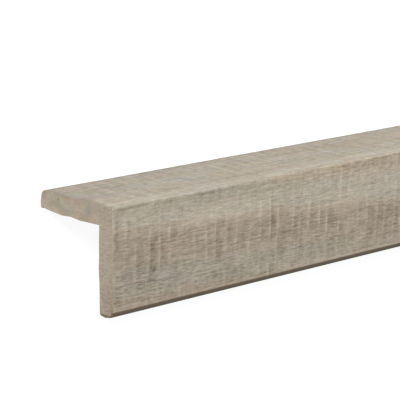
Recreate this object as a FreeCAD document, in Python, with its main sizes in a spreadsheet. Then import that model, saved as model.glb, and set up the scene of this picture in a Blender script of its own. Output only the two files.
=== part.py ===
# Corner guard moulding: one length of L-section wood trim that caps the outside corner of a wall.
#
# The section is drawn square on, with the heel, the outer corner of the two legs, at the sketch's
# origin, the back leg along +Y and the front leg along -Z. It is padded along X and its long edges are
# rounded. The finished piece is then tipped over, heel up, until it rests on the inner edges of both
# leg tips, which is how it lies by itself on a level floor. Lengths are in millimetres.
import FreeCAD, Part
import Sketcher
import os

NODE = "corner_guard"

# Driving dimensions: alias, value, meaning.
SIZES = [
    ("stock_length", "1220", "length that the moulding is sold in"),
    ("front_leg", "32", "outside width of the front leg, from heel to tip"),
    ("back_leg", "32", "outside width of the back leg, from heel to tip"),
    ("wall", "6", "thickness of both legs"),
    ("heel_round", "0.5", "radius that eases the heel"),
    ("tip_round", "2", "radius on the outer edge of each leg tip"),
    ("inner_ease", "0.7", "radius that eases the inner edge of each leg tip"),
]

# How the piece lies at rest, worked out from the driving dimensions: alias, formula, meaning.
REST = [
    (
        "rest_tilt",
        "=atan((front_leg - wall) / (back_leg - wall))",
        "turn about the length that sets both leg tips on the floor",
    ),
    (
        "heel_height",
        "=(wall - inner_ease) * sin(rest_tilt) + (front_leg - inner_ease) * cos(rest_tilt) + inner_ease",
        "height of the heel, before its rounding, over the floor",
    ),
    (
        "heel_offset",
        "=(front_leg * sin(rest_tilt) - back_leg * cos(rest_tilt)) / 2",
        "sideways place of the heel that centres the two tips on the origin",
    ),
]

# Sketcher's numbers for the two ends of a line, and for the sketch's own origin.
LINE_START = 1
LINE_END = 2
SKETCH_ORIGIN = -1


def make_sheet(doc):
    """Spreadsheet with one aliased cell for each size, and its meaning beside it."""
    sheet = doc.addObject("Spreadsheet::Sheet", "Sizes")
    for row, (alias, content, meaning) in enumerate(SIZES + REST, start=1):
        sheet.set(f"A{row}", meaning)
        sheet.set(f"B{row}", content)
        sheet.setAlias(f"B{row}", alias)
    doc.recompute()
    return sheet


def origin_plane(body, role):
    """One of the body's own origin planes."""
    return next(plane for plane in body.Origin.OriginFeatures if plane.Role == role)


def section_corners(sheet):
    """The L's six corners as (y, z), from the heel along the back leg and round to the front leg's tip."""
    front, back, wall = sheet.front_leg, sheet.back_leg, sheet.wall
    return {
        "heel": (0, 0),
        "back_tip_outer": (back, 0),
        "back_tip_inner": (back, -wall),
        "inside_corner": (wall, -wall),
        "front_tip_inner": (wall, -front),
        "front_tip_outer": (0, -front),
    }


def draw_section(body, sheet):
    """Closed L outline with square corners, fixed by the two leg widths and the wall."""
    sketch = body.newObject("Sketcher::SketchObject", "Section")
    sketch.AttachmentSupport = [(origin_plane(body, "YZ_Plane"), "")]
    sketch.MapMode = "FlatFace"

    points = [FreeCAD.Vector(y, z, 0) for y, z in section_corners(sheet).values()]
    for start, end in zip(points, points[1:] + points[:1]):
        sketch.addGeometry(Part.LineSegment(start, end), False)
    back_face, back_tip, back_inside, front_inside, front_tip, front_face = range(len(points))

    for line in range(len(points)):
        following = (line + 1) % len(points)
        joined = Sketcher.Constraint("Coincident", line, LINE_END, following, LINE_START)
        sketch.addConstraint(joined)
    for line in (back_face, back_inside, front_tip):
        sketch.addConstraint(Sketcher.Constraint("Horizontal", line))
    for line in (back_tip, front_inside, front_face):
        sketch.addConstraint(Sketcher.Constraint("Vertical", line))
    sketch.addConstraint(Sketcher.Constraint("Coincident", back_face, LINE_START, SKETCH_ORIGIN, LINE_START))

    widths = [
        (back_face, "DistanceX", LINE_START, LINE_END, "back_leg"),
        (front_face, "DistanceY", LINE_START, LINE_END, "front_leg"),
        (back_tip, "DistanceY", LINE_END, LINE_START, "wall"),
        (front_tip, "DistanceX", LINE_END, LINE_START, "wall"),
    ]
    for line, direction, low, high, alias in widths:
        width = Sketcher.Constraint(direction, line, low, line, high, getattr(sheet, alias))
        index = sketch.addConstraint(width)
        sketch.setExpression(f"Constraints[{index}]", f"Sizes.{alias}")
    solved = sketch.solve()
    if solved != 0 or not sketch.FullyConstrained:
        raise RuntimeError("the section's outline is not fully fixed")
    return sketch


def long_edges(shape, corners):
    """Names of the edges that run the whole length along these corners of the section."""
    same_point = Part.Precision.confusion()
    names = []
    for number, edge in enumerate(shape.Edges, start=1):
        ends = [vertex.Point for vertex in edge.Vertexes]
        for y, z in corners:
            if all(end.isEqual(FreeCAD.Vector(end.x, y, z), same_point) for end in ends):
                names.append(f"Edge{number}")
    if len(names) != len(corners):
        raise RuntimeError(f"expected {len(corners)} long edges, found {names}")
    return names


def round_edges(doc, body, base, name, corners, alias):
    """Fillet of one radius on the long edges at these corners of the section."""
    fillet = body.newObject("PartDesign::Fillet", name)
    fillet.Base = (base, long_edges(base.Shape, corners))
    fillet.setExpression("Radius", f"Sizes.{alias}")
    doc.recompute()
    return fillet


def lay_at_rest(body, sheet):
    """Tip the piece about its length, heel up, and set it on the floor, centred on the origin."""
    tipping_axis = FreeCAD.Vector(-1, 0, 0)
    tilt = FreeCAD.Rotation(tipping_axis, sheet.rest_tilt.Value)
    body.Placement = FreeCAD.Placement(FreeCAD.Vector(0, sheet.heel_offset, sheet.heel_height), tilt)
    body.setExpression("Placement.Rotation.Angle", "Sizes.rest_tilt")
    body.setExpression("Placement.Base.y", "Sizes.heel_offset")
    body.setExpression("Placement.Base.z", "Sizes.heel_height")


def make_moulding(doc, sheet):
    """The moulding, padded from its section, rounded along its edges and laid at rest."""
    body = doc.addObject("PartDesign::Body", "Moulding")
    body.Label = NODE
    sketch = draw_section(body, sheet)

    pad = body.newObject("PartDesign::Pad", "Length")
    pad.Profile = sketch
    pad.SideType = "Symmetric"
    pad.setExpression("Length", "Sizes.stock_length")
    doc.recompute()

    corners = section_corners(sheet)
    outer_tips = [corners["back_tip_outer"], corners["front_tip_outer"]]
    inner_tips = [corners["back_tip_inner"], corners["front_tip_inner"]]
    heel = round_edges(doc, body, pad, "HeelRound", [corners["heel"]], "heel_round")
    tips = round_edges(doc, body, heel, "TipRounds", outer_tips, "tip_round")
    round_edges(doc, body, tips, "InnerEase", inner_tips, "inner_ease")

    lay_at_rest(body, sheet)
    doc.recompute()
    return body


def check(doc, body):
    """Stop if any object failed to recompute, or the moulding isn't one valid solid."""
    for item in doc.Objects:
        if {"Invalid", "Error"} & set(item.State):
            raise RuntimeError(f"{item.Name} failed: {item.State}")
    shape = body.Shape
    if shape.isNull() or not shape.isValid() or len(shape.Solids) != 1:
        raise RuntimeError(f"{body.Label} is not one valid solid")


def main():
    doc = FreeCAD.newDocument("corner_guard_moulding")
    sheet = make_sheet(doc)
    body = make_moulding(doc, sheet)
    check(doc, body)
    os.makedirs("parts", exist_ok=True)
    body.Shape.exportStep(f"parts/{body.Label}.step")
    box = body.Shape.BoundBox
    print(f"{body.Label}: {box.XLength:.1f} x {box.YLength:.2f} x {box.ZLength:.2f} mm")
    print(f"lowest point {box.ZMin:.4f} mm, sides at {box.YMin:.3f} and {box.YMax:.3f} mm")
    print(f"volume {body.Shape.Volume:.0f} mm3")


main()
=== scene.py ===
# %% [markdown]
# # A sawn corner guard moulding
# A corner guard is a length of L-section wood that caps the outside corner of a wall. This one has a
# rough-sawn, greyed face. The CAD solid gives the true section and length, and here it gets its skin:
# the saw's hollows as real relief, and the grain, pores and worn edges as a finish. The solid comes
# first, because every size below is read from its box.

# %% Load the CAD frame
import math

import bpy
import numpy as np
from mathutils import Matrix, Vector


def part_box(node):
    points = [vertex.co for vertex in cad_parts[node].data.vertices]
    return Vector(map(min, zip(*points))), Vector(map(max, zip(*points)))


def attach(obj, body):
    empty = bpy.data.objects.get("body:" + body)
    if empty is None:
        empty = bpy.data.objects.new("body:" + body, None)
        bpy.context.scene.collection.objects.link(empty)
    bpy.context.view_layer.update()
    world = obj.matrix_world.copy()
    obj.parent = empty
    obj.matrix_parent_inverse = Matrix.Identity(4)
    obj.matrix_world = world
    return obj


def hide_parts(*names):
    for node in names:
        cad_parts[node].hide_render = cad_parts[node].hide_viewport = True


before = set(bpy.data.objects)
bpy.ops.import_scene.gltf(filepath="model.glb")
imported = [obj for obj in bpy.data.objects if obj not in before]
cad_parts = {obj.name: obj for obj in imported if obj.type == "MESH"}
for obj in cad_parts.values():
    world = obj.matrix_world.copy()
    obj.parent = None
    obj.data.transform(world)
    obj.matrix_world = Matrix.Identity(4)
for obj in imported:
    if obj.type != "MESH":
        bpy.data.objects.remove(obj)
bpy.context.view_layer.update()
NODE = "corner_guard"

# %% [markdown]
# ## The section's sizes
# The moulding lies like a tent, heel up, on the inner edges of its two leg tips. Only the three small
# rounds are stated. The leg and the wall follow from the box: a square corner that points straight up
# or sideways loses (root 2 minus 1) of its radius when it is rounded, and both legs lean at 45 degrees.

# %% Read the leg and the wall from the box
TIP_ROUND = 0.002
INNER_EASE = 0.0007
HEEL_ROUND = 0.0005
ROOT_TWO = math.sqrt(2)

low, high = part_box(NODE)
length = high.x - low.x
leg = ROOT_TWO * (high.y - TIP_ROUND) + 2 * TIP_ROUND
heel_height = high.z + HEEL_ROUND * (ROOT_TWO - 1)
wall = ROOT_TWO * (heel_height - INNER_EASE) - leg + 2 * INNER_EASE
print(f"length {length * 1000:.1f}, leg {leg * 1000:.2f}, wall {wall * 1000:.2f} mm")

# %% [markdown]
# ## The outline, as runs and arcs
# The section could be traced with a curve object, but then each point's outward direction would be
# lost, and the relief needs it. So the outline is built from two small functions, a straight run and an
# arc, that give points and outward directions together. It is drawn square on, with the heel at the
# origin, the back leg along +Y and the front leg along -Z. A flat face gets an extra point close to
# each round, which keeps smooth shading off the flat.

# %% Straight runs and arcs of the section
HOLD = 0.0003


def straight(start, end, outward, pieces):
    """Points start + t (end - start), with t in equal steps between two holding points.

    The end is left out, and all the points share one outward direction.
    """
    start, end = np.array(start), np.array(end)
    hold = HOLD / np.linalg.norm(end - start)
    t = np.concatenate([[0.0], np.linspace(hold, 1 - hold, pieces + 1)])
    return start + t[:, None] * (end - start), np.tile(np.array(outward, float), (len(t), 1))


def rounded(centre, radius, start_angle, steps):
    """Points centre + radius (cos a, sin a) over a quarter turn clockwise, leaving out the last one."""
    angle = np.radians(start_angle - 90 * np.arange(steps) / steps)
    outward = np.stack([np.cos(angle), np.sin(angle)], axis=1)
    return np.array(centre) + radius * outward, outward


# %% Draw the closed outline
FACE_PIECES = 9
INSIDE_PIECES = 6
TIP_PIECES = 2
ROUND_STEPS = 5
SMALL_STEPS = 3

tip, ease, heel = TIP_ROUND, INNER_EASE, HEEL_ROUND
runs = {
    "front_inside": straight((wall, -wall), (wall, -leg + ease), (1, 0), INSIDE_PIECES),
    "front_ease": rounded((wall - ease, -leg + ease), ease, 0, SMALL_STEPS),
    "front_tip": straight((wall - ease, -leg), (tip, -leg), (0, -1), TIP_PIECES),
    "front_round": rounded((tip, -leg + tip), tip, -90, ROUND_STEPS),
    "front_face": straight((0, -leg + tip), (0, -heel), (-1, 0), FACE_PIECES),
    "heel": rounded((heel, -heel), heel, 180, SMALL_STEPS),
    "back_face": straight((heel, 0), (leg - tip, 0), (0, 1), FACE_PIECES),
    "back_round": rounded((leg - tip, -tip), tip, 90, ROUND_STEPS),
    "back_tip": straight((leg, -tip), (leg, -wall + ease), (1, 0), TIP_PIECES),
    "back_ease": rounded((leg - ease, -wall + ease), ease, 0, SMALL_STEPS),
    "back_inside": straight((leg - ease, -wall), (wall, -wall), (0, -1), INSIDE_PIECES),
}
outline = np.concatenate([points for points, directions in runs.values()])
outward = np.concatenate([directions for points, directions in runs.values()])
run_of = np.repeat(list(runs), [len(points) for points, directions in runs.values()])
around = len(outline)
print(around, "points round the section")

# %% [markdown]
# ## Two directions on the wood's skin
# Every pattern on the moulding follows one of two directions: along the length, where the fibres run,
# and round the section, where the saw cut. The girth is counted from the heel, positive down the front
# leg and negative over the back leg, so that both faces can be told apart by its sign. Stations along
# the length are close together near the end that the camera sees from nearby, and wider apart on the
# rest.

# %% Girth and stations
CLOSE_STRETCH = 0.150
CLOSE_STEP = 0.0004
REST_STEP = 0.00095
ARRIS = 0.00015

sides = np.linalg.norm(np.roll(outline, -1, axis=0) - outline, axis=1)
walked = np.concatenate([[0.0], np.cumsum(sides)])
heel_start = walked[np.flatnonzero(run_of == "heel")[0]]
girth_closed = heel_start + math.pi / 4 * heel - walked
girth = girth_closed[:-1]

rest_count = round((length - CLOSE_STRETCH) / REST_STEP)
station = np.concatenate([
    [0.0, ARRIS],
    np.arange(2 * ARRIS, CLOSE_STRETCH, CLOSE_STEP),
    np.linspace(CLOSE_STRETCH, length - ARRIS, rest_count),
    [length],
])
rows = len(station)
along, across = station[:, None], girth[None, :]
print(rows, "stations,", 2 * rows * around, "triangles on the sides")

# %% [markdown]
# ## Chance, but the same each time
# Wood is never regular. A smooth random field is made by adding many cosine waves of random direction
# and phase, from a seeded generator, so the moulding comes out alike each run. Blender's own noise
# textures would do for colour, but here the same field also moves vertices.

# %% A smooth random field
WAVES = 36


def ripple(x, y, wavelengths, seed):
    """Sum of cosines of x and y over their wavelengths, in random directions, with a spread of about 1."""
    chance = np.random.default_rng(seed)
    turns = chance.normal(size=(WAVES, 2)) / np.array(wavelengths)
    phases = chance.uniform(0, 2 * np.pi, WAVES)
    total = sum(np.cos(2 * np.pi * (a * x + b * y) + p) for (a, b), p in zip(turns, phases))
    return total * np.sqrt(2 / WAVES)


def ramp(value, start, end):
    """Smooth step: 0 before start, 1 after end, and 3 t squared minus 2 t cubed between them."""
    t = np.clip((value - start) / (end - start), 0, 1)
    return t * t * (3 - 2 * t)


# %% [markdown]
# ## Growth bands
# The tree's yearly rings cross the faces as brown bands, nearly along the length, with greyed wood
# between them. The bands come back in the colour further down. Here they matter for the saw, which
# bites deeper into the soft wood.

# %% Soft bands of the wood
BAND_PITCH = 0.0205
BAND_START = 0.0042
BAND_SLOPE = 0.068
WEAK_BAND = 0.4

band_turn = (across - BAND_SLOPE * along - BAND_START) / BAND_PITCH


def softness(turn):
    """Softness of the wood over the turns of the bands: a quick rise, a level stretch and a slower fall.

    Every third band is a weak one.
    """
    share = np.where(np.floor(turn) % 3 == 1, WEAK_BAND, 1.0)
    return share * ramp(turn % 1, 0, 0.12) * (1 - ramp(turn % 1, 0.55, 0.75))


# %% [markdown]
# ## What the saw left
# A saw blade leaves a row of shallow hollows across the board, one for each stroke, with a thin ridge
# of torn fibre between them. A bump texture could fake them, but real hollows also catch the light at
# the edges. The strokes are numbered along the length, as distance over pitch with a little unrest. The
# fraction q of a stroke gives the hollow, steep where the stroke begins and gentle where it ends, and
# the ridge, a high power of cos of pi q. A fainter ridge may lie halfway, where one tooth stood out. A
# stroke bites well into the soft bands and hardly into the rest, and no two strokes start or stop at
# the same height. Each face was sawn in a pass of its own. On the back face the strokes lie further
# apart, cross hard and soft wood alike, bite less and are worn down near the heel.

# %% Hollows and ridges of the saw
LEAST_BITE = 0.15
HEIGHT_SHIFT = 0.35
RIDGE_POWER = 20
QUICK_WANDER = 0.20
SLOW_WANDER = 0.12


def saw_strokes(seeds, pitch, start, lean, unrest, reach, halfway):
    """Hollow and ridge of each stroke, from 0 to about 1, over the whole grid of stations and girth.

    A stroke's number is along plus lean times across, over the pitch, plus the start and some unrest. In
    hard wood only the share reach of it is left. The ridge in the middle of a stroke is halfway times as
    high as a whole one, and highest where the ridge at the stroke's start is low.
    """
    place_seed, depth_seed = seeds
    wander = QUICK_WANDER * ripple(along, 0, (0.015, 1), place_seed)
    wander = wander + SLOW_WANDER * ripple(along, across, (0.06, 0.02), place_seed + 1)
    stroke = (along + lean * across) / pitch + start + unrest * wander
    patchy = np.clip(0.8 + 0.4 * ripple(along, across, (0.02, 0.010), place_seed + 2), 0, 1.2)

    chance = np.random.default_rng(depth_seed).uniform(size=(int(stroke.max()) + 3, 3))
    depth, height = (LEAST_BITE + (1 - LEAST_BITE) * chance[:, column] for column in (0, 1))
    shift = HEIGHT_SHIFT * (chance[:, 2] - 0.5)
    this, nearest = np.floor(stroke).astype(int), np.floor(stroke + 0.5).astype(int)
    q = stroke - this
    hollow = ramp(q, 0.02, 0.2) * (1 - ramp(q, 0.5, 1)) * depth[this]
    ridge = np.cos(np.pi * stroke) ** RIDGE_POWER * height[nearest]
    faint_ridge = halfway * np.sin(np.pi * stroke) ** RIDGE_POWER * (1 + LEAST_BITE - height[this])
    hollow_reach = reach + (1 - reach) * softness(band_turn + shift[this])
    ridge_reach = reach + (1 - reach) * softness(band_turn + shift[nearest])
    return hollow * hollow_reach * patchy, (ridge * ridge_reach + faint_ridge * hollow_reach) * patchy


# %% Saw both faces
BACK_BITE = 0.3
BACK_RIDGE = 1.05
LEFT_ON_HEEL = 0.3
LEFT_WHERE_WORN = 0.6

front_hollow, front_ridge = saw_strokes(
    (657, 515), pitch=0.00436, start=7.9, lean=0.05, unrest=0.5, reach=0.18, halfway=0.25
)
back_hollow, back_ridge = saw_strokes(
    (146, 176), pitch=0.00495, start=6.34, lean=0.03, unrest=0.35, reach=0.8, halfway=0.0
)
outer = 1 - ramp(np.abs(across), leg - tip, leg)
flat = outer * (LEFT_ON_HEEL + (1 - LEFT_ON_HEEL) * ramp(np.abs(across), 0.0004, 0.002))
left = LEFT_WHERE_WORN + (1 - LEFT_WHERE_WORN) * ramp(-across, 0.006, 0.016)
hollow = np.where(across > 0, front_hollow, BACK_BITE * left * back_hollow) * flat
ridge = np.where(across > 0, front_ridge, BACK_RIDGE * left * back_ridge) * flat
print(f"hollows cover {100 * (hollow > 0.3).mean():.0f} % of the skin")

# %% [markdown]
# ## Relief, cut into the solid
# Relief goes inwards, so the moulding never grows past its CAD size: the saw's hollows, a slow waviness
# of dry wood, nibbles along the heel, and a broken arris at both ends. The inside faces stay flat,
# because they seat on the wall. Only at the very ends the cross-cut tore them: splinters stand out by a
# third of a millimetre, the inner edge of the back leg is knocked in, and the leg tips swell in their
# middle.

# %% Sink the relief
SAW_DEPTH = 0.00012
WAVE_DEPTH = 0.00005
NIBBLE_DEPTH = 0.0001
SPLINTER = 0.00018
WORN_EDGE = 0.0003
KNOCK = 0.00045
SWELL = 0.0003
TEAR_LENGTH = 0.0015

waviness = 0.5 + 0.5 * np.clip(ripple(along, across, (0.045, 0.016), seed=31) / 2, -1, 1)
near_heel = 1 - ramp(np.abs(across), 0.0002, 0.0012)
nibbles = np.clip(ripple(along, 0, (0.009, 1), seed=33), 0, 2) * near_heel
which_end = np.where(along < length / 2, 0, 1)
from_end = np.minimum(along, length - along)
ragged = np.clip(0.65 + 0.35 * ripple(which_end, across, (1, 0.0022), seed=41), 0.1, 1.4)
broken = ARRIS * ragged * np.clip(1 - from_end / ARRIS, 0, 1)
fade = np.exp(-from_end / TEAR_LENGTH)

reach_out = np.maximum(outline[:, 0], -outline[:, 1])
on_inside = np.isin(run_of, ["front_inside", "back_inside"])
clear = on_inside * ramp(reach_out, wall, wall + 0.002) * (1 - ramp(reach_out, leg - 0.006, leg - 0.002))
front_tear = ripple(which_end, across, (1, 0.012), seed=43)
back_tear = ripple(which_end, across, (1, 0.010), seed=991)
splinters = SPLINTER * np.clip(0.5 + np.where(across > 0, front_tear, back_tear), -1, 1.6) * clear * fade

facing_in = np.clip(-outward[:, 1], 0, 1) * (outline[:, 0] > wall)
worn_edge = WORN_EDGE * ramp(outline[:, 0], leg - 0.010, leg - 0.006)
knocked = worn_edge + KNOCK * ramp(outline[:, 0], leg - 0.0045, leg - 0.001)
into_wall = np.minimum(outline[:, 0], -outline[:, 1])
swollen = np.sin(np.pi * np.clip((into_wall - tip) / (wall - ease - tip), 0, 1))
swollen = SWELL * swollen * np.isin(run_of, ["front_tip", "back_tip"])

relief = SAW_DEPTH * hollow + WAVE_DEPTH * waviness * outer + NIBBLE_DEPTH * nibbles + broken
relief = relief + (knocked * facing_in - swollen) * fade - splinters
skin = np.stack(np.broadcast_arrays(
    along,
    outline[:, 0] - relief * outward[:, 0],
    outline[:, 1] - relief * outward[:, 1],
), axis=-1)
print(f"deepest relief {relief.max() * 1000:.2f} mm, longest splinter {-relief.min() * 1000:.2f} mm")

# %% [markdown]
# ## The cut ends
# An end could be one flat face, but a cross-cut is never quite flat. Each end ring is drawn in towards
# the middle line of the L in two steps, and those inner rings are set back by a little noise. The thin
# strip that is left along the middle line is closed by one face.

# %% Rings that close the ends
SHRINKS = (0.3, 0.72)
END_DEPTH = 0.00007

middle = wall / 2
in_back_leg = outline[:, 0] > -outline[:, 1]
on_line = np.stack([
    np.where(in_back_leg, np.clip(outline[:, 0], middle, leg - middle), middle),
    np.where(in_back_leg, -middle, np.clip(outline[:, 1], middle - leg, -middle)),
], axis=1)


def end_rings(row, inward, seed):
    """Rings between an end of the skin and the L's middle line, each set back inwards by a little noise."""
    share = np.array(SHRINKS)[:, None, None]
    rim = skin[row, :, 1:]
    place = rim + share * (on_line - rim)
    rough = np.clip(ripple(place[..., 0], place[..., 1], (0.003, 0.003), seed) / 2, -1, 1)
    x = station[row] + inward * END_DEPTH * (1 + rough)
    return np.concatenate([x[..., None], place], axis=-1)


near_rings = end_rings(0, inward=1, seed=51)
far_rings = end_rings(rows - 1, inward=-1, seed=52)
square_on = np.concatenate([part.reshape(-1, 3) for part in (skin, near_rings, far_rings)])
print(square_on.shape[0], "points, with", len(SHRINKS), "rings on each end")

# %% [markdown]
# ## One closed mesh
# The grid of stations and girth becomes quads, and the end rings join on. Until here the section was
# drawn square on. Now it is turned 45 degrees about its length, which lays the moulding at rest.

# %% Join the grid and the ends
grid = np.arange(rows * around).reshape(rows, around)
ends = rows * around + np.arange(2 * len(SHRINKS) * around).reshape(2, len(SHRINKS), around)


def quads(first, second):
    """Quads between two rows of vertex numbers, closed round the section.

    They face out when the second row is further along the length.
    """
    corners = [first, second, np.roll(second, -1, -1), np.roll(first, -1, -1)]
    return np.stack(corners, axis=-1).reshape(-1, 4)


side_quads = quads(grid[:-1], grid[1:])
end_quads = np.concatenate([
    quads(ends[0], np.stack([grid[0], ends[0, 0]])),
    quads(np.stack([grid[-1], ends[1, 0]]), ends[1]),
])
lids = [ends[0, -1], ends[1, -1][::-1]]

x, y, z = square_on.T
vertices = np.stack([low.x + x, (y + z) / ROOT_TWO, (z - y) / ROOT_TWO + heel_height], axis=1)
mesh = bpy.data.meshes.new("sawn_moulding")
faces = side_quads.tolist() + end_quads.tolist() + [lid.tolist() for lid in lids]
mesh.from_pydata(vertices.tolist(), [], faces)
moulding = bpy.data.objects.new("sawn_moulding", mesh)
bpy.context.scene.collection.objects.link(moulding)
mesh.calc_loop_triangles()
print(len(mesh.vertices), "vertices,", len(mesh.loop_triangles), "triangles")

# %% [markdown]
# ## Shading at the edges
# The skin is shaded smooth, so that hollows read as curves. Smooth shading would also round the two cut
# ends and the inside corner, which are crisp on the real piece, so those edges are marked sharp.

# %% Mark the sharp edges
mesh.shade_smooth()
edge_ends = np.empty(2 * len(mesh.edges), np.int32)
mesh.edges.foreach_get("vertices", edge_ends)
edge_ends = edge_ends.reshape(-1, 2)
on_near_rim = (edge_ends < around).all(axis=1)
on_far_rim = ((edge_ends >= (rows - 1) * around) & (edge_ends < rows * around)).all(axis=1)
in_corner = ((edge_ends % around == 0) & (edge_ends < rows * around)).all(axis=1)
is_sharp = on_near_rim | on_far_rim | in_corner
sharp = mesh.attributes.new("sharp_edge", "BOOLEAN", "EDGE")
sharp.data.foreach_set("value", is_sharp)
print(is_sharp.sum(), "sharp edges")

# %% [markdown]
# ## Maps in metres, and in shelves
# Two maps are stored on the mesh. The first holds real metres, along the length and round the girth, so
# a finish can be written in millimetres. The second lays the long skin out in shelves, like planks in a
# rack, which is what a bake needs from something so long and thin. The ends go on a shelf of their own,
# a little smaller.

# %% Store both maps
PLACE = "skin_place"
SHELVES = 3
GAP = 0.002
END_SCALE = 0.65

corner_x = np.stack([station[:-1], station[1:], station[1:], station[:-1]], axis=1)
corner_v = np.stack([girth_closed[:-1], girth_closed[:-1], girth_closed[1:], girth_closed[1:]], axis=1)
side_x, side_v = (part.reshape(-1) for part in np.broadcast_arrays(corner_x[:, None], corner_v[None]))
end_corners = np.concatenate([end_quads.ravel(), *lids])
end_y, end_z = square_on[end_corners, 1:].T

shelf_length = length / SHELVES
shelf_height = walked[-1] + GAP
shelf = np.repeat(np.minimum(station[:-1] // shelf_length, SHELVES - 1), around * 4)
page = shelf_length + 2 * GAP
is_far = square_on[end_corners, 0] > length / 2
place_map = np.concatenate([np.stack([side_x, side_v], axis=1), np.stack([end_y, end_z], axis=1)])
sides_laid = (side_x - shelf * shelf_length, girth_closed[0] - side_v + shelf * shelf_height)
ends_laid = (END_SCALE * end_y + is_far * leg, END_SCALE * (end_z + leg) + SHELVES * shelf_height)
shelf_map = (GAP + np.concatenate([np.stack(sides_laid, axis=1), np.stack(ends_laid, axis=1)])) / page
for name, values in ((PLACE, place_map), ("OFBake", shelf_map)):
    mesh.uv_layers.new(name=name).data.foreach_set("uv", values.astype(np.float32).ravel())
print("shelves fill", shelf_map.min(axis=0).round(3), "to", shelf_map.max(axis=0).round(3))

# %% [markdown]
# ## What the colour needs to know
# The hollows and ridges also show in colour, because grime settles low and ridges rub pale. Both are
# stored on the vertices, where the finish reads them by name.

# %% Store the saw's marks
no_marks = np.zeros(ends.size)
for name, values in (("saw_hollow", hollow), ("saw_ridge", ridge)):
    marks = mesh.attributes.new(name, "FLOAT", "POINT")
    marks.data.foreach_set("value", np.concatenate([values.ravel(), no_marks]).astype(np.float32))

# %% [markdown]
# ## A bench for finishes
# A wood finish is many thin layers: tint, fibre, pores, wear. Wiring each one by hand in the node
# editor is slow, so a small bench does it. Each layer is a noise stretched to a size in millimetres,
# shaped, and mixed in.

# %% Helpers that wire a finish
MM = 0.001


def paint(red, green, blue):
    """Colour from the 0 to 255 values that a picture shows: the sRGB curve taken off each channel."""
    shown = np.array([red, green, blue]) / 255
    light = np.where(shown <= 0.04045, shown / 12.92, ((shown + 0.055) / 1.055) ** 2.4)
    return (*light, 1.0)


class Finish:
    """A wood material built layer by layer over the map in metres."""

    seed_step = (3.7, 5.3, 1.9)
    bump_strength = 0.6
    specular_level = 0.25

    def __init__(self, name):
        self.material = bpy.data.materials.new(name)
        self.material.use_nodes = True
        self.tree = self.material.node_tree
        self.shader = self.tree.nodes["Principled BSDF"]
        self.place = self.node("ShaderNodeUVMap", uv_map=PLACE).outputs["UV"]
        split = self.node("ShaderNodeSeparateXYZ")
        self.feed(self.place, split.inputs[0])
        self.first, self.second = split.outputs["X"], split.outputs["Y"]

    def node(self, kind, **settings):
        """A new node of that kind, with its settings."""
        made = self.tree.nodes.new(kind)
        for name, value in settings.items():
            setattr(made, name, value)
        return made

    def feed(self, value, socket):
        """A wire where value is another node's output, and a set value otherwise."""
        if isinstance(value, bpy.types.NodeSocket):
            self.tree.links.new(value, socket)
        else:
            socket.default_value = value

    def maths(self, operation, *values):
        """What a Math node makes of the values."""
        made = self.node("ShaderNodeMath", operation=operation)
        for value, socket in zip(values, made.inputs):
            self.feed(value, socket)
        return made.outputs[0]

    def total(self, start, *layers):
        """start plus the sum of layer times weight."""
        for layer, weight in layers:
            start = self.maths("MULTIPLY_ADD", layer, weight, start)
        return start

    def product(self, first, *layers):
        """first times each of the layers."""
        for layer in layers:
            first = self.maths("MULTIPLY", first, layer)
        return first

    def mark(self, name):
        """The marks of that name that are stored on the vertices."""
        return self.node("ShaderNodeAttribute", attribute_name=name).outputs["Fac"]

    def length_of(self, first, second):
        """Root of first squared plus second squared."""
        return self.maths("SQRT", self.total(0.0, (first, first), (second, second)))

    def patches(self, along_mm, across_mm, seed, detail=2.0):
        """Noise from 0 to 1 whose patches are about that long and wide, in millimetres.

        Each seed takes the noise from another place.
        """
        mapping = self.node("ShaderNodeMapping")
        self.feed(self.place, mapping.inputs["Vector"])
        self.feed((1 / (along_mm * MM), 1 / (across_mm * MM), 1), mapping.inputs["Scale"])
        self.feed([step * seed for step in self.seed_step], mapping.inputs["Location"])
        noise = self.node("ShaderNodeTexNoise")
        self.feed(mapping.outputs[0], noise.inputs["Vector"])
        self.feed(1.0, noise.inputs["Scale"])
        self.feed(detail, noise.inputs["Detail"])
        return noise.outputs[0]

    def between(self, value, start, end, low=0.0, high=1.0):
        """Smooth step of value from start to end, onto low to high."""
        made = self.node("ShaderNodeMapRange", interpolation_type="SMOOTHSTEP")
        for number, socket in zip((value, start, end, low, high), made.inputs):
            self.feed(number, socket)
        return made.outputs[0]

    def tint(self, colour, other, share):
        """Colour moved towards another by a share.

        A Mix node has sockets for several kinds of data. Those for colours are 6 and 7, and 2 going out.
        """
        made = self.node("ShaderNodeMix", data_type="RGBA")
        for value, socket in ((share, 0), (colour, 6), (other, 7)):
            self.feed(value, made.inputs[socket])
        return made.outputs[2]

    def shade(self, colour, level):
        """Colour times a level."""
        made = self.node("ShaderNodeVectorMath", operation="SCALE")
        self.feed(colour, made.inputs[0])
        self.feed(level, made.inputs["Scale"])
        return made.outputs[0]

    def glaze(self, colour, other, level):
        """Colour plus a level of another, which may be below 0."""
        made = self.node("ShaderNodeVectorMath", operation="MULTIPLY_ADD")
        self.feed(level, made.inputs[0])
        self.feed(other[:3], made.inputs[1])
        self.feed(colour, made.inputs[2])
        return made.outputs[0]

    def settle(self, colour, roughness, height, depth):
        """Joins colour, roughness and a bump of that depth to the shader."""
        bump = self.node("ShaderNodeBump")
        self.feed(self.bump_strength, bump.inputs["Strength"])
        self.feed(depth, bump.inputs["Distance"])
        self.feed(height, bump.inputs["Height"])
        self.feed(colour, self.shader.inputs["Base Color"])
        self.feed(roughness, self.shader.inputs["Roughness"])
        self.feed(bump.outputs[0], self.shader.inputs["Normal"])
        self.feed(self.specular_level, self.shader.inputs["Specular IOR Level"])


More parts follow.
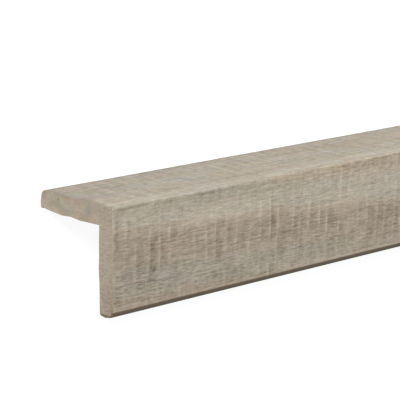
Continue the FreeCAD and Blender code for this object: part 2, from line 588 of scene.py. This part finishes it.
# %% [markdown]
# ## The sawn, greyed face
# Old sawn wood is grey between its brown growth bands, and everything on it runs along the fibre: pale
# and dark streaks, and pores like short scratches. Across the fibre run the saw's marks. The heel is
# rubbed pale, and the downward rounds at the leg tips get painted shade. The bands drift a little. A noise
# swings about one half, so half of a drift is taken off again wherever one is added.

# %% Bands and tints of the sawn face
GREY = paint(181, 172, 155)
BACK_GREY = paint(180, 173, 159)
BROWN = paint(184, 170, 151)
GREENISH = paint(178, 173, 151)
ROSY = paint(187, 171, 161)
WARM = paint(184, 172, 152)
COOL = paint(177, 172, 163)
RUST = paint(186, 169, 149)
BAND_DRIFT = 0.3

sawn = Finish("sawn_face")
u, v = sawn.first, sawn.second
on_back = sawn.between(v, 0.2 * MM, -0.2 * MM)
drift = sawn.patches(50, 4, seed=1, detail=3)
turns = sawn.maths("DIVIDE", sawn.total(-BAND_START, (v, 1.0), (u, -BAND_SLOPE)), BAND_PITCH)
wave = sawn.maths("FRACT", sawn.total(turns, (drift, BAND_DRIFT), (1.0, -BAND_DRIFT / 2)))
band = sawn.product(
    sawn.between(wave, 0.0, 0.16),
    sawn.between(wave, 0.76, 0.58),
    sawn.total(1.0, (on_back, -0.7)),
)
rust = sawn.product(band, sawn.between(sawn.patches(22, 2, seed=2), 0.48, 0.7))
colour = sawn.tint(GREY, BACK_GREY, on_back)
blotch = sawn.patches(16, 4, seed=110, detail=3)
warmth = sawn.patches(16, 8, seed=106, detail=3)
blotch_share = sawn.total(0.4, (on_back, 0.45))
warmth_share = sawn.total(0.15, (on_back, 0.65))
for patch, end, other, share in (
    (blotch, 0.65, GREENISH, blotch_share),
    (blotch, 0.35, ROSY, blotch_share),
    (warmth, 0.65, WARM, warmth_share),
    (warmth, 0.35, COOL, warmth_share),
):
    colour = sawn.tint(colour, other, sawn.between(patch, 0.5, end, 0, share))
colour = sawn.tint(colour, BROWN, band)
colour = sawn.tint(colour, RUST, rust)

# %% [markdown]
# Wider than the growth bands runs a bleached stripe, where the wood greyed before it was sawn. It
# repeats about every second band, it ends at the heel, and it sets how light the front face is as a
# whole.

# %% The bleached stripe
BLEACH_PITCH = 0.041
BLEACH_START = -0.009
BLEACH_DRIFT = 0.2

bleach_turns = sawn.total(-BLEACH_START, (v, 1.0), (u, -BAND_SLOPE))
bleach_turns = sawn.maths("DIVIDE", bleach_turns, BLEACH_PITCH)
bleach_turns = sawn.total(bleach_turns, (drift, BLEACH_DRIFT), (1.0, -BLEACH_DRIFT / 2))
bleach_wave = sawn.maths("FRACT", bleach_turns)
bleach = sawn.product(
    sawn.between(bleach_wave, 0.0, 0.12),
    sawn.between(bleach_wave, 0.47, 0.34),
    sawn.between(v, -1 * MM, 6 * MM, 0, 1.05),
)

# %% [markdown]
# Hands and doorways rub the heel pale. The rub is strongest on the back face, a little behind the heel,
# and its far edge wanders. It only tints the wood, and the fibres that are laid over it next stay
# visible in it. Along the length, stretches where the wood under the heel is rubbed to a tan take turns
# with stretches where grime has stayed there. The foot of the front face is a little rusty, most of all
# in the tan stretches.

# %% Rubbed heel
RUBBED = paint(204, 196, 181)
TAN = paint(204, 187, 162)
TAN_PITCH = 0.240
TAN_START = 0.060
EDGE_DRIFT = 8 * MM

tan_turn = sawn.total(-2 * math.pi * TAN_START / TAN_PITCH, (u, 2 * math.pi / TAN_PITCH))
tan_stretch = sawn.between(sawn.maths("SINE", tan_turn), -0.3, 0.3)
far_edge = sawn.total(v, (sawn.patches(60, 60, seed=35), EDGE_DRIFT), (1.0, -EDGE_DRIFT / 2))
rub = sawn.product(
    sawn.between(far_edge, -7 * MM, -3 * MM),
    sawn.between(v, 1.1 * MM, 0.1 * MM),
    sawn.between(v, -0.5 * MM, -2.5 * MM, 0.4, 1.0),
    sawn.between(sawn.patches(9, 1.6, seed=9), 0.35, 0.65, 0.4, 0.74),
)
colour = sawn.tint(colour, RUBBED, rub)
tanned = sawn.product(
    tan_stretch,
    sawn.between(v, 3.5 * MM, 0.8 * MM, 0, 0.6),
    sawn.between(v, -1.0 * MM, 0.5 * MM),
)
colour = sawn.tint(colour, TAN, tanned)
foot = sawn.between(v, 24 * MM, 28 * MM, 0, sawn.total(0.1, (tan_stretch, 0.3)))
colour = sawn.tint(colour, RUST, foot)

# %% [markdown]
# Fibres, pores and saw marks are laid over that as a glaze. A mark that only scaled the colour would be
# warm where it is pale and dull where it is dark. Weathered wood does neither: its pale marks are as
# grey as its dark ones, so the glaze is a little cooler than the wood. Each layer has a weight, and a
# level below zero brings the middle of them all close to zero. The marks are quieter on the back face,
# and dust dims its outer half, most of all near the ends.

# %% Fibres, pores and saw marks of the sawn face
GLAZE = paint(178, 171, 159)
MARKS_LEVEL = -1.27

fibres = sawn.patches(2.0, 0.36, seed=4, detail=3)
long_fibres = sawn.patches(25, 0.6, seed=223, detail=2)
chatter = sawn.patches(1.1, 5, seed=6, detail=2)
cloud = sawn.patches(9, 3.5, seed=17, detail=2)
broad_cloud = sawn.patches(30, 10, seed=22, detail=2)
pores = sawn.product(
    sawn.between(sawn.patches(2.2, 0.36, seed=7), 0.60, 0.68),
    sawn.between(sawn.patches(12, 5, seed=8), 0.42, 0.60),
)
marks = sawn.total(
    MARKS_LEVEL,
    (fibres, 1.2),
    (long_fibres, 0.6),
    (chatter, 0.4),
    (cloud, 0.25),
    (broad_cloud, 0.2),
    (sawn.product(pores, sawn.total(1.0, (on_back, -0.5))), -0.32),
    (sawn.mark("saw_hollow"), -0.26),
    (sawn.mark("saw_ridge"), 0.28),
)
quiet = sawn.total(1.0, (on_back, -0.13))
from_cut = sawn.maths("MINIMUM", u, sawn.total(length, (u, -1.0)))
dusty = sawn.between(v, -12 * MM, -28 * MM)
dusty_end = sawn.product(sawn.between(v, -10 * MM, -16 * MM), sawn.between(from_cut, 26 * MM, 6 * MM))
colour = sawn.shade(colour, sawn.total(0.91, (bleach, 0.24), (dusty, -0.018), (dusty_end, -0.06)))
colour = sawn.glaze(colour, GLAZE, sawn.product(marks, quiet))

# %% [markdown]
# Last come marks laid over the grain: a seam of grime under the heel, painted shade on the rounds at the
# leg tips with a pale lip above the front one, a slanting pin knot near the end, and a hairline check that
# follows the fibre. Where the cross-cut met the faces, the front one shows pale torn fibre and the back
# one is darker along the cut.

# %% Grime, painted shade and torn fibre
# One dark colour serves both for grime and for painted shade on the tip rounds.
GRIME_AND_SHADE = paint(118, 105, 88)
TORN = paint(203, 189, 169)
KNOT = (15.2 * MM, 20.2 * MM)
CHECK = 17.8 * MM

seam = sawn.product(
    sawn.between(v, 0.4 * MM, 0.8 * MM),
    sawn.between(v, 1.5 * MM, 1.0 * MM),
    sawn.between(sawn.patches(30, 40, seed=10), 0.42, 0.6, 0, 0.28),
    sawn.total(1.0, (tan_stretch, -1.0)),
)
# The rounds at both leg tips turn down towards the floor, and the dark tint laid on them is painted shade.
round_start = leg - tip - (1 - math.pi / 4) * heel
front_round = sawn.between(v, round_start + 0.06 * MM, round_start + 0.31 * MM, 0, 0.93)
back_round = sawn.between(v, -round_start + 1.2 * MM, -round_start - 0.2 * MM, 0, 0.55)
# The back face is darker along its edge at the cut ends.
darker_cut_edge = sawn.product(on_back, sawn.between(from_cut, 1.9 * MM, -0.2 * MM, 0, 0.36))
torn = sawn.product(
    sawn.between(from_cut, 1.5 * MM, 0.5 * MM),
    sawn.between(sawn.patches(40, 2.2, seed=18), 0.42, 0.62, 0, 0.6),
    sawn.total(1.0, (on_back, -0.8)),
)
lip = sawn.product(
    sawn.between(v, round_start - 0.8 * MM, round_start - 0.3 * MM),
    sawn.between(v, round_start + 0.2 * MM, round_start - 0.1 * MM, 0, 0.35),
)
for share in (torn, lip):
    colour = sawn.tint(colour, TORN, share)
knot_down = sawn.total(-KNOT[1], (v, 1.0))
knot_along = sawn.total(-KNOT[0], (u, 1.0), (knot_down, 0.3))
from_knot = sawn.length_of(knot_along, sawn.product(knot_down, 0.75))
knot = sawn.between(from_knot, 0.9 * MM, 0.3 * MM, 0, 0.7)
from_check = sawn.maths("ABSOLUTE", sawn.total(-CHECK, (v, 1.0)))
check = sawn.product(
    sawn.between(from_check, 0.26 * MM, 0.08 * MM, 0, 0.36),
    sawn.between(u, 22 * MM, 28 * MM),
    sawn.between(u, 96 * MM, 84 * MM),
)
for share in (seam, front_round, back_round, knot, check, darker_cut_edge):
    colour = sawn.tint(colour, GRIME_AND_SHADE, share)
sawn.settle(
    colour,
    roughness=sawn.total(0.72, (fibres, 0.25)),
    height=sawn.total(0.0, (fibres, 0.6), (chatter, 0.3), (pores, -0.5)),
    depth=0.04 * MM,
)

# %% [markdown]
# ## The cut end
# The cross-cut shows the fibres end on, as blotches in the back leg and as short lines across the front
# leg. Some are a little green and some a little rosy, with a cool patch here and there. The end is
# palest at the tip of the back leg and darkest at the tip of the front leg, whose rim along the round is
# darker still and whose inner side is cool. Its map holds the section's own place: across the back leg,
# and down the front leg.

# %% End finish
CUT = paint(192, 177, 156)
CUT_DARK = paint(168, 150, 128)
CUT_PALE = paint(199, 188, 170)
CUT_COOL = paint(186, 178, 162)
CUT_GREEN = paint(189, 181, 152)
CUT_ROSY = paint(199, 175, 161)

cut = Finish("cut_end")
y, z = cut.first, cut.second
lines = cut.patches(1.6, 0.5, seed=12)
blotches = cut.patches(4, 3, seed=11, detail=3)
flow = cut.between(y, wall, wall + 1 * MM, lines, blotches)
grit = cut.patches(0.6, 0.6, seed=13)
cloud = cut.patches(6, 6, seed=14)
colour = cut.tint(CUT, CUT_COOL, cut.between(cloud, 0.5, 0.65))
colour = cut.tint(colour, CUT_DARK, cut.between(cloud, 0.5, 0.3, 0, 0.7))
colour = cut.tint(colour, CUT_PALE, cut.between(y, leg - 9 * MM, leg - 2 * MM, 0, 0.6))
colour = cut.tint(colour, CUT_DARK, cut.between(z, -leg + 17 * MM, -leg + 3 * MM, 0, 0.95))
inner_side = cut.product(cut.between(y, 1 * MM, 4 * MM, 0, 0.5), cut.between(y, wall + 1 * MM, wall))
colour = cut.tint(colour, CUT_COOL, inner_side)
tint_lines = cut.patches(1.6, 7, seed=61)
tint_blotches = cut.patches(4, 4, seed=62)
stripe = cut.between(y, wall, wall + 1 * MM, tint_lines, tint_blotches)
colour = cut.tint(colour, CUT_GREEN, cut.between(stripe, 0.5, 0.65, 0, 0.5))
colour = cut.tint(colour, CUT_ROSY, cut.between(stripe, 0.5, 0.35, 0, 0.5))
colour = cut.shade(colour, cut.total(0.44, (flow, 0.76), (grit, 0.36)))

# %% Dark rim and fleck of the end
FLECK = (24.0 * MM, -1.6 * MM)

drop = cut.maths("MAXIMUM", cut.total(tip - leg, (z, -1.0)), 0.0)
side = cut.maths("MAXIMUM", cut.total(tip, (y, -1.0)), 0.0)
from_round = cut.length_of(drop, cut.product(side, 1.35))
# The end is tinted dark along the edge of the front leg's round.
rim = cut.between(from_round, tip - 0.75 * MM, tip - 0.35 * MM, 0, 0.9)
rim = cut.product(rim, cut.between(drop, 0.0, 0.6 * MM))
from_fleck = cut.length_of(cut.total(-FLECK[0], (y, 1.0)), cut.total(-FLECK[1], (z, 1.0)))
fleck = cut.between(from_fleck, 0.5 * MM, 0.1 * MM, 0, 0.8)
for share in (rim, fleck):
    colour = cut.tint(colour, GRIME_AND_SHADE, share)
cut.settle(
    colour,
    roughness=cut.total(0.75, (grit, 0.2)),
    height=cut.total(0.0, (grit, 0.5), (flow, 0.5)),
    depth=0.1 * MM,
)

# %% [markdown]
# ## The inside faces
# The faces that sit on the wall are never seen in use. They are planed, so they keep the wood's own
# warmer colour, a long quiet grain and a smoother feel.

# %% Inside finish
PLANED = paint(188, 168, 140)
PLANED_DARK = paint(166, 143, 114)

planed = Finish("planed_inside")
grain = planed.patches(90, 2.2, seed=15, detail=4)
fine = planed.patches(9, 0.4, seed=16)
colour = planed.tint(PLANED, PLANED_DARK, planed.between(grain, 0.4, 0.7, 0, 0.8))
colour = planed.shade(colour, planed.total(0.8, (fine, 0.4)))
planed.settle(
    colour,
    roughness=planed.total(0.58, (fine, 0.2)),
    height=planed.total(0.0, (fine, 0.5), (grain, 0.5)),
    depth=0.05 * MM,
)

# %% Give each face its finish
SAWN_SLOT, CUT_SLOT, PLANED_SLOT = range(3)

for finish in (sawn, cut, planed):
    mesh.materials.append(finish.material)
inside = np.isin(run_of, ["front_inside", "front_ease", "back_ease", "back_inside"])
on_sides = np.tile(np.where(inside, PLANED_SLOT, SAWN_SLOT), rows - 1)
on_ends = np.full(len(end_quads) + len(lids), CUT_SLOT)
chosen = np.concatenate([on_sides, on_ends])
mesh.polygons.foreach_set("material_index", chosen.astype(np.int32))
mesh.update()
print("faces sawn, cut and planed:", np.bincount(chosen))

# %% [markdown]
# ## A camera at the photograph's angle
# The camera is placed by the section itself. In the square-on drawing it looks along the front face and
# a little down, with the heel of the near end left of the picture's middle. That view is then turned by
# the same 45 degrees as the moulding, so the moulding looks held level though it lies at rest.

# %% Place the camera
PICTURE = 400
FOCAL = 1823.25
YAW, PITCH, ROLL = (math.radians(angle) for angle in (42.779, 12.741, 0.180))
HEEL_SEEN = (-87.44, -7.74)
HEEL_AWAY = 0.50089
SENSOR = 36
LAID = math.radians(-45)

forward = Vector((math.sin(YAW) * math.cos(PITCH), math.cos(YAW) * math.cos(PITCH), -math.sin(PITCH)))
level_right = Vector((math.cos(YAW), -math.sin(YAW), 0))
level_up = level_right.cross(forward)
right = math.cos(ROLL) * level_right + math.sin(ROLL) * level_up
up = math.cos(ROLL) * level_up - math.sin(ROLL) * level_right
aim = Matrix((right, up, -forward)).transposed()
heel_from_camera = Vector((HEEL_SEEN[0] / FOCAL, HEEL_SEEN[1] / FOCAL, -1)) * HEEL_AWAY
stand = Matrix.Translation(-(aim @ heel_from_camera)) @ aim.to_4x4()
lay_down = Matrix.Translation((low.x, 0, heel_height)) @ Matrix.Rotation(LAID, 4, "X")

camera = bpy.data.objects.new("camera", bpy.data.cameras.new("camera"))
bpy.context.scene.collection.objects.link(camera)
camera.matrix_world = lay_down @ stand
camera.data.sensor_width = SENSOR
camera.data.lens = FOCAL * SENSOR / PICTURE
bpy.context.scene.camera = camera
print("camera stands at", [round(value, 3) for value in camera.matrix_world.translation])

# %% [markdown]
# ## Floor and light
# A studio sweep is a pale floor under soft light from all round, with one broad lamp. The sky gives
# most of the light. The lamp stands high, behind the near end, so the back face is the brightest, the
# front face is the quietest, and light skims over the saw marks. The floor shows white to the camera,
# and still takes a soft shadow.

# %% Build the floor
FLOOR_SIDE = 60
FLOOR_SHEEN = 0.93
FLOOR_GREY = (0.15, 0.15, 0.15, 1)

corners = FLOOR_SIDE / 2 * np.array([(-1, -1, 0), (1, -1, 0), (1, 1, 0), (-1, 1, 0)])
floor_mesh = bpy.data.meshes.new("floor")
floor_mesh.from_pydata(corners.tolist(), [], [(0, 1, 2, 3)])
floor = bpy.data.objects.new("floor", floor_mesh)
bpy.context.scene.collection.objects.link(floor)


def seen_directly(tree):
    """1 for rays from the camera, and for those that a shine or a glass passes on, and 0 for light."""
    path = tree.nodes.new("ShaderNodeLightPath")
    share = path.outputs["Is Camera Ray"]
    for ray in ("Is Glossy Ray", "Is Transmission Ray"):
        either = tree.nodes.new("ShaderNodeMath")
        either.operation = "MAXIMUM"
        tree.links.new(share, either.inputs[0])
        tree.links.new(path.outputs[ray], either.inputs[1])
        share = either.outputs[0]
    return share


floor_paint = bpy.data.materials.new("floor_paint")
floor_paint.use_nodes = True
tree = floor_paint.node_tree
tree.nodes.remove(tree.nodes["Principled BSDF"])
matt = tree.nodes.new("ShaderNodeBsdfDiffuse")
matt.inputs["Color"].default_value = FLOOR_GREY
glow = tree.nodes.new("ShaderNodeEmission")
glow_level = tree.nodes.new("ShaderNodeMath")
glow_level.operation = "MULTIPLY"
glow_level.inputs[1].default_value = FLOOR_SHEEN
both = tree.nodes.new("ShaderNodeAddShader")
tree.links.new(seen_directly(tree), glow_level.inputs[0])
tree.links.new(glow_level.outputs[0], glow.inputs["Strength"])
tree.links.new(matt.outputs[0], both.inputs[0])
tree.links.new(glow.outputs[0], both.inputs[1])
tree.links.new(both.outputs[0], tree.nodes["Material Output"].inputs["Surface"])
floor_mesh.materials.append(floor_paint)

# %% Light the scene
SKY_LEVEL = 0.65
LAMP_LEVEL = 0.56
LAMP_SPREAD = math.radians(24)
LAMP_FROM = Vector((-0.61, 0.29, 0.74))

world = bpy.data.worlds.new("sky")
world.use_nodes = True
bpy.context.scene.world = world
tree = world.node_tree
sky_level = tree.nodes.new("ShaderNodeMapRange")
sky_level.inputs["To Min"].default_value = SKY_LEVEL
sky_level.inputs["To Max"].default_value = 1.0
tree.links.new(seen_directly(tree), sky_level.inputs["Value"])
tree.nodes["Background"].inputs["Color"].default_value = (1, 1, 1, 1)
tree.links.new(sky_level.outputs[0], tree.nodes["Background"].inputs["Strength"])

lamp = bpy.data.objects.new("broad_lamp", bpy.data.lights.new("broad_lamp", "SUN"))
bpy.context.scene.collection.objects.link(lamp)
lamp.data.energy = math.pi * LAMP_LEVEL
lamp.data.angle = LAMP_SPREAD
lamp.rotation_euler = LAMP_FROM.to_track_quat("Z", "Y").to_euler()
bpy.context.scene.view_settings.view_transform = "Standard"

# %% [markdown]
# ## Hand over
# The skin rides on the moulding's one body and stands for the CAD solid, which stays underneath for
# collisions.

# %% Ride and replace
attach(moulding, "root")
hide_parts(NODE)
